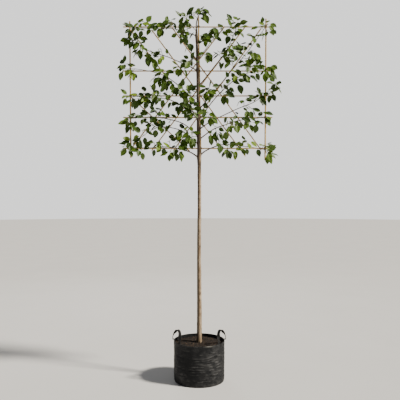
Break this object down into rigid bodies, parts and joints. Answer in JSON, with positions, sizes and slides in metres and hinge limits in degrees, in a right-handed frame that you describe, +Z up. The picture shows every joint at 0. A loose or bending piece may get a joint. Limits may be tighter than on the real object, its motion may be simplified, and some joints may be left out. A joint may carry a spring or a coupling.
{
  "type": "pleached tree in grow bag",
  "caption": "Young broad-leaved tree with a clear stem and a flat crown trained on a bamboo frame, rooted in compost in a round fabric grow bag with webbing handles.",
  "frame": {"origin": "centre of the grow bag's flat underside", "axes": "+Z up along the trunk, +X along the flat crown towards its right-hand end, -Y out of the crown's face"},
  "size_m": [1.4339, 0.445, 3.2507],
  "materials": {
    "bag_fabric": "matt woven",
    "handle_webbing": "matt woven",
    "compost": "crumbly",
    "bark": "rough",
    "bamboo_cane": "satin",
    "leaf_green": "semi-gloss"
  },
  "bodies": {
    "root": {"grow_bag": "bag_fabric", "handle_left": "handle_webbing", "handle_right": "handle_webbing", "root_ball": "compost", "trunk": "bark", "bough_left_1": "bark", "bough_left_2": "bark", "bough_left_3": "bark", "bough_left_4": "bark", "bough_left_5": "bark", "bough_left_6": "bark", "bough_left_7": "bark", "bough_left_8": "bark", "bough_right_1": "bark", "bough_right_2": "bark", "bough_right_3": "bark", "bough_right_4": "bark", "bough_right_5": "bark", "bough_right_6": "bark", "bough_right_7": "bark", "foliage_left_1": "leaf_green", "foliage_left_2": "leaf_green", "foliage_left_3": "leaf_green", "foliage_left_4": "leaf_green", "foliage_left_5": "leaf_green", "foliage_left_6": "leaf_green", "foliage_left_7": "leaf_green", "foliage_left_8": "leaf_green", "foliage_right_1": "leaf_green", "foliage_right_2": "leaf_green", "foliage_right_3": "leaf_green", "foliage_right_4": "leaf_green", "foliage_right_5": "leaf_green", "foliage_right_6": "leaf_green", "foliage_right_7": "leaf_green", "foliage_trunk_left_low": "leaf_green", "foliage_trunk_left_inner": "leaf_green", "foliage_trunk_left_middle": "leaf_green", "foliage_trunk_left_high": "leaf_green", "foliage_trunk_left_top": "leaf_green", "foliage_trunk_right_low": "leaf_green", "foliage_trunk_right_middle": "leaf_green", "foliage_trunk_right_high": "leaf_green", "foliage_leader": "leaf_green", "cane_upright_left": "bamboo_cane", "cane_upright_centre": "bamboo_cane", "cane_upright_right": "bamboo_cane", "cane_rail_1": "bamboo_cane", "cane_rail_2": "bamboo_cane", "cane_rail_3": "bamboo_cane", "cane_rail_4": "bamboo_cane", "cane_rail_5": "bamboo_cane", "cane_falling_1": "bamboo_cane", "cane_falling_2": "bamboo_cane", "cane_falling_3": "bamboo_cane", "cane_falling_4": "bamboo_cane", "cane_rising_1": "bamboo_cane", "cane_rising_2": "bamboo_cane", "cane_rising_3": "bamboo_cane"}
  },
  "joints": []
}
